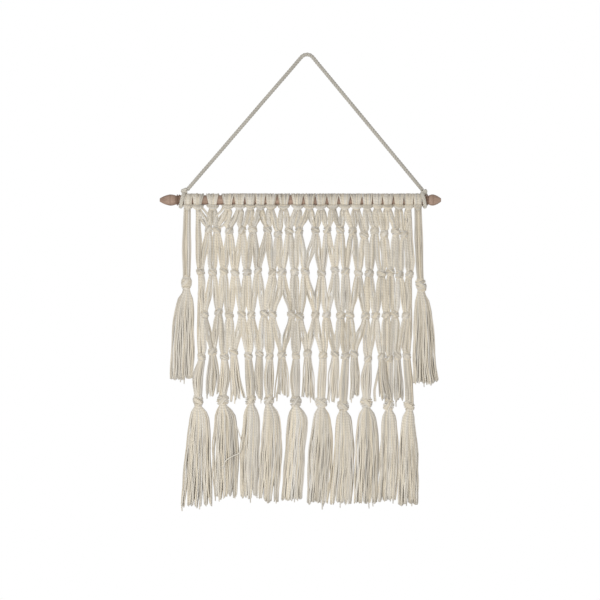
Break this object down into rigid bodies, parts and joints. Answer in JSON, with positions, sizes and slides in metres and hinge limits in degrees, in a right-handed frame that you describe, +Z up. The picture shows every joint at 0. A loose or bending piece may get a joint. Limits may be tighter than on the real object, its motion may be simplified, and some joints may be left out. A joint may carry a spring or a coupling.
{
  "type": "macrame wall hanging on a wooden dowel",
  "caption": "Knotted cotton net with small, big and side tassels, larks-headed over a turned wooden dowel and hung by a twisted cord from one nail.",
  "frame": {"origin": "where the underside of the hanging cord rests on its nail", "axes": "+X along the dowel to the viewer's right, +Y back towards the wall, +Z up"},
  "size_m": [0.4218, 0.024, 0.678],
  "materials": {
    "yarn": "soft matt natural cotton yarn, loosely twisted, cream",
    "rope": "matt twisted cotton cord, natural, slightly grey",
    "wood": "turned pale pinkish-brown wood, satin, with darker turned grooves"
  },
  "bodies": {
    "root": {"dowel": "wood", "hanging_cord": "rope", "cord_hitch_left": "rope", "cord_hitch_right": "rope", "larks_head_01": "yarn", "larks_head_02": "yarn", "larks_head_03": "yarn", "larks_head_04": "yarn", "larks_head_05": "yarn", "larks_head_06": "yarn", "larks_head_07": "yarn", "larks_head_08": "yarn", "larks_head_09": "yarn", "larks_head_10": "yarn", "larks_head_11": "yarn", "larks_head_12": "yarn", "larks_head_13": "yarn", "larks_head_14": "yarn", "larks_head_15": "yarn", "larks_head_16": "yarn", "larks_head_17": "yarn", "larks_head_18": "yarn", "larks_head_19": "yarn", "larks_head_20": "yarn", "larks_head_21": "yarn", "net_row_1": "yarn", "net_row_2": "yarn", "net_row_3": "yarn", "net_row_4": "yarn", "big_tassel_01": "yarn", "big_tassel_02": "yarn", "big_tassel_03": "yarn", "big_tassel_04": "yarn", "big_tassel_05": "yarn", "big_tassel_06": "yarn", "big_tassel_07": "yarn", "big_tassel_08": "yarn", "big_tassel_09": "yarn", "big_tassel_10": "yarn", "small_tassel_1": "yarn", "small_tassel_2": "yarn", "small_tassel_3": "yarn", "small_tassel_4": "yarn", "small_tassel_5": "yarn", "small_tassel_6": "yarn", "small_tassel_7": "yarn", "small_tassel_8": "yarn", "small_tassel_9": "yarn", "side_tassel_left": "yarn", "side_tassel_right": "yarn"}
  },
  "joints": []
}
